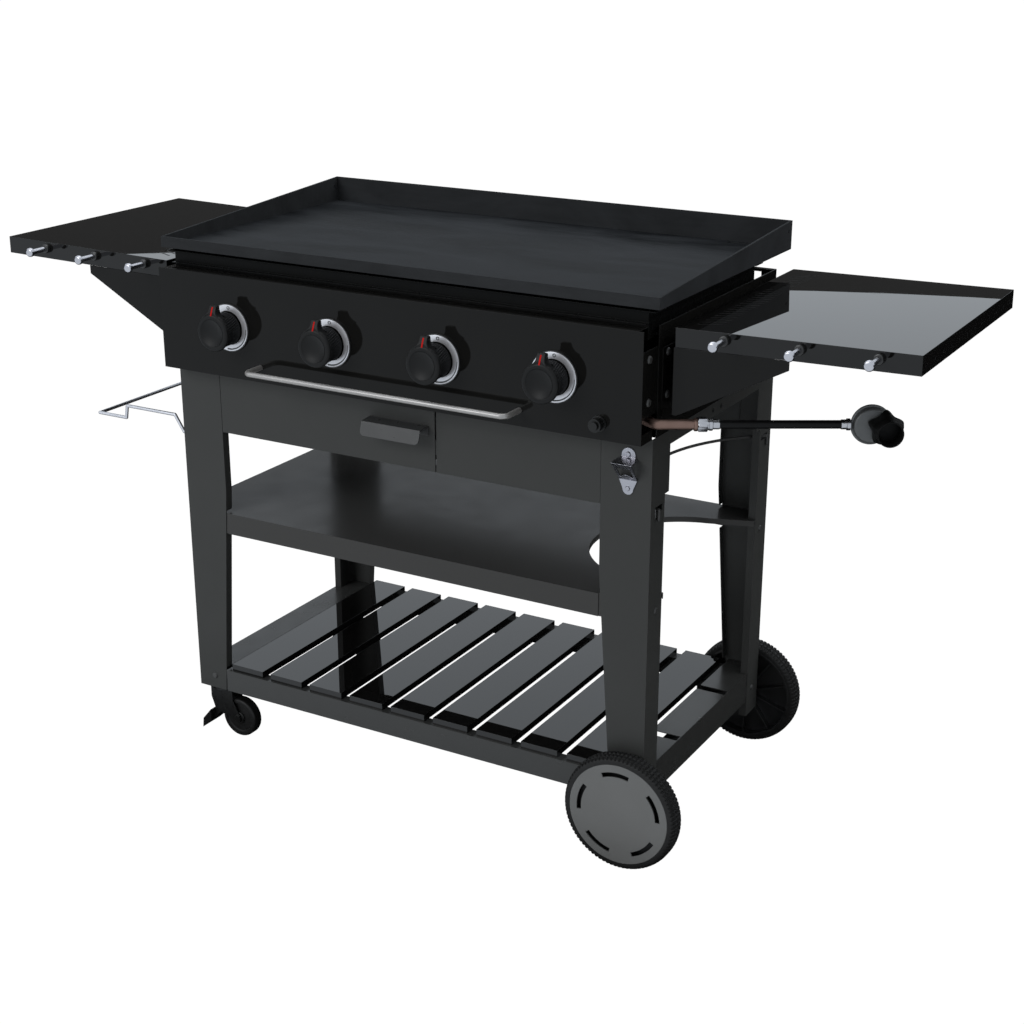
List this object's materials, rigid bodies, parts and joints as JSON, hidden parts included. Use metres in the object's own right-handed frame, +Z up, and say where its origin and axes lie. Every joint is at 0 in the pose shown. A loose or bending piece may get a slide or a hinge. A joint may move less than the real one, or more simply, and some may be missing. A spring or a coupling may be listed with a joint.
{
  "type": "outdoor gas griddle station",
  "caption": "Gas griddle plate over a burner box on a steel cart with side shelves, drawer, slatted lower shelf, wheels and casters.",
  "frame": {"origin": "on the ground under the centre of the station's box, the gas hose and regulator left out", "axes": "+X along the control panel to the gas side, +Y from the panel to the back, +Z up"},
  "size_m": [1.7042, 0.6068, 0.9779],
  "materials": {
    "griddle_steel": "seasoned rolled steel, dark and slightly mottled",
    "gloss_black_steel": "gloss black powder coat",
    "satin_black_steel": "satin black heat paint",
    "cart_grey_steel": "satin dark grey powder coat",
    "slat_steel": "gloss dark grey powder coat",
    "stainless_steel": "plain stainless tube",
    "plain_steel": "zinc plated",
    "dark_wire_steel": "dark coated steel",
    "valve_brass": "machined brass",
    "bright_chrome": "polished plating",
    "black_plastic": "moulded black plastic",
    "knob_plastic": "soft satin moulded plastic",
    "copper_pipe": "bare copper",
    "hose_rubber": "smooth black rubber",
    "regulator_alloy": "dark painted casting",
    "tyre_rubber": "hard black rubber",
    "hub_plastic": "moulded grey plastic",
    "caster_steel": "black coated pressed steel",
    "caster_rubber": "hard black rubber",
    "cup_aluminium": "pressed aluminium"
  },
  "bodies": {
    "cart": {"firebox": "satin_black_steel", "control_panel": "gloss_black_steel", "body_side_panels": "satin_black_steel", "rear_body_panel": "satin_black_steel", "burners": "stainless_steel", "gas_manifold": "plain_steel", "gas_valves": "valve_brass", "knob_bezels": "bright_chrome", "igniter_housing": "black_plastic", "towel_bar": "bright_chrome", "supply_pipe": "copper_pipe", "hose_fittings": "bright_chrome", "gas_hose": "hose_rubber", "regulator_body": "regulator_alloy", "left_shelf": "gloss_black_steel", "right_shelf": "gloss_black_steel", "shelf_brackets": "gloss_black_steel", "tool_hooks": "bright_chrome", "front_left_leg": "cart_grey_steel", "front_right_leg": "cart_grey_steel", "rear_left_leg": "cart_grey_steel", "rear_right_leg": "cart_grey_steel", "drawer_runners": "plain_steel", "fixed_front_panel": "cart_grey_steel", "upper_rails": "cart_grey_steel", "middle_shelf": "cart_grey_steel", "end_low_rails": "cart_grey_steel", "side_low_rails": "cart_grey_steel", "slats": "slat_steel", "wheel_axle": "plain_steel", "caster_plates": "caster_steel", "bottle_opener": "bright_chrome", "trash_bag_wire": "bright_chrome", "tank_wire": "dark_wire_steel", "fasteners": "dark_wire_steel"},
    "griddle_top": {"griddle_plate": "griddle_steel"},
    "drawer": {"drawer_front": "cart_grey_steel", "drawer_box": "cart_grey_steel", "drawer_handle": "cart_grey_steel"},
    "igniter_push": {"igniter_button": "black_plastic"},
    "front_wheel": {"front_tyre": "tyre_rubber", "front_wheel_hub": "hub_plastic"},
    "rear_wheel": {"rear_tyre": "tyre_rubber", "rear_wheel_hub": "hub_plastic"},
    "front_fork": {"front_caster_fork": "caster_steel"},
    "rear_fork": {"rear_caster_fork": "caster_steel"},
    "front_caster_roller": {"front_caster_wheel": "caster_rubber"},
    "rear_caster_roller": {"rear_caster_wheel": "caster_rubber"},
    "front_brake": {"front_brake_pedal": "caster_steel"},
    "rear_brake": {"rear_brake_pedal": "caster_steel"},
    "connector_wheel": {"regulator_handwheel": "black_plastic"},
    "drip_cup": {"grease_cup": "cup_aluminium"},
    "stem_1": {"valve_stem_1": "plain_steel"},
    "dial_1": {"knob_1": "knob_plastic"},
    "stem_2": {"valve_stem_2": "plain_steel"},
    "dial_2": {"knob_2": "knob_plastic"},
    "stem_3": {"valve_stem_3": "plain_steel"},
    "dial_3": {"knob_3": "knob_plastic"},
    "stem_4": {"valve_stem_4": "plain_steel"},
    "dial_4": {"knob_4": "knob_plastic"}
  },
  "joints": [
    {"name": "griddle_lift", "type": "slide", "parent": "cart", "child": "griddle_top", "axis": [0, 0, 1], "range_m": [0, 0.15]},
    {"name": "drawer_slide", "type": "slide", "parent": "cart", "child": "drawer", "axis": [0, -1, 0], "range_m": [0, 0.32]},
    {"name": "igniter_press", "type": "slide", "parent": "cart", "child": "igniter_push", "axis": [0, 1, 0], "range_m": [0, 0.004], "stiffness_N_per_m": 800},
    {"name": "cup_slide", "type": "slide", "parent": "cart", "child": "drip_cup", "axis": [0, 1, 0], "range_m": [0, 0.12]},
    {"name": "knob_1_push", "type": "slide", "parent": "cart", "child": "stem_1", "axis": [0, 1, 0], "range_m": [0, 0.003], "stiffness_N_per_m": 1500},
    {"name": "knob_1_turn", "type": "hinge", "parent": "stem_1", "child": "dial_1", "pos_m": [-0.3084, -0.27525, 0.814], "axis": [0, -1, 0], "range_deg": [0, 210]},
    {"name": "knob_2_push", "type": "slide", "parent": "cart", "child": "stem_2", "axis": [0, 1, 0], "range_m": [0, 0.003], "stiffness_N_per_m": 1500},
    {"name": "knob_2_turn", "type": "hinge", "parent": "stem_2", "child": "dial_2", "pos_m": [-0.1028, -0.27525, 0.814], "axis": [0, -1, 0], "range_deg": [0, 210]},
    {"name": "knob_3_push", "type": "slide", "parent": "cart", "child": "stem_3", "axis": [0, 1, 0], "range_m": [0, 0.003], "stiffness_N_per_m": 1500},
    {"name": "knob_3_turn", "type": "hinge", "parent": "stem_3", "child": "dial_3", "pos_m": [0.1028, -0.27525, 0.814], "axis": [0, -1, 0], "range_deg": [0, 210]},
    {"name": "knob_4_push", "type": "slide", "parent": "cart", "child": "stem_4", "axis": [0, 1, 0], "range_m": [0, 0.003], "stiffness_N_per_m": 1500},
    {"name": "knob_4_turn", "type": "hinge", "parent": "stem_4", "child": "dial_4", "pos_m": [0.3084, -0.27525, 0.814], "axis": [0, -1, 0], "range_deg": [0, 210]},
    {"name": "front_wheel_roll", "type": "hinge", "parent": "cart", "child": "front_wheel", "pos_m": [0.4307, -0.23705, 0.1002], "axis": [0, 1, 0], "continuous": true},
    {"name": "rear_wheel_roll", "type": "hinge", "parent": "cart", "child": "rear_wheel", "pos_m": [0.4307, 0.28595, 0.1002], "axis": [0, 1, 0], "continuous": true},
    {"name": "front_caster_swivel", "type": "hinge", "parent": "cart", "child": "front_fork", "pos_m": [-0.4307, -0.17625, 0.09], "axis": [0, 0, 1], "continuous": true},
    {"name": "front_caster_roll", "type": "hinge", "parent": "front_fork", "child": "front_caster_roller", "pos_m": [-0.3955, -0.17625, 0.0375], "axis": [0, 1, 0], "continuous": true},
    {"name": "front_brake_lift", "type": "hinge", "parent": "front_fork", "child": "front_brake", "pos_m": [-0.4405, -0.17625, 0.0435], "axis": [0, 1, 0], "range_deg": [0, 20]},
    {"name": "rear_caster_swivel", "type": "hinge", "parent": "cart", "child": "rear_fork", "pos_m": [-0.4307, 0.22515, 0.09], "axis": [0, 0, 1], "continuous": true},
    {"name": "rear_caster_roll", "type": "hinge", "parent": "rear_fork", "child": "rear_caster_roller", "pos_m": [-0.3955, 0.22515, 0.0375], "axis": [0, 1, 0], "continuous": true},
    {"name": "rear_brake_lift", "type": "hinge", "parent": "rear_fork", "child": "rear_brake", "pos_m": [-0.4405, 0.22515, 0.0435], "axis": [0, 1, 0], "range_deg": [0, 20]},
    {"name": "connector_turn", "type": "hinge", "parent": "cart", "child": "connector_wheel", "pos_m": [0.77145, -0.07823, 0.7537], "axis": [0.5, -0.866, 0], "continuous": true}
  ]
}
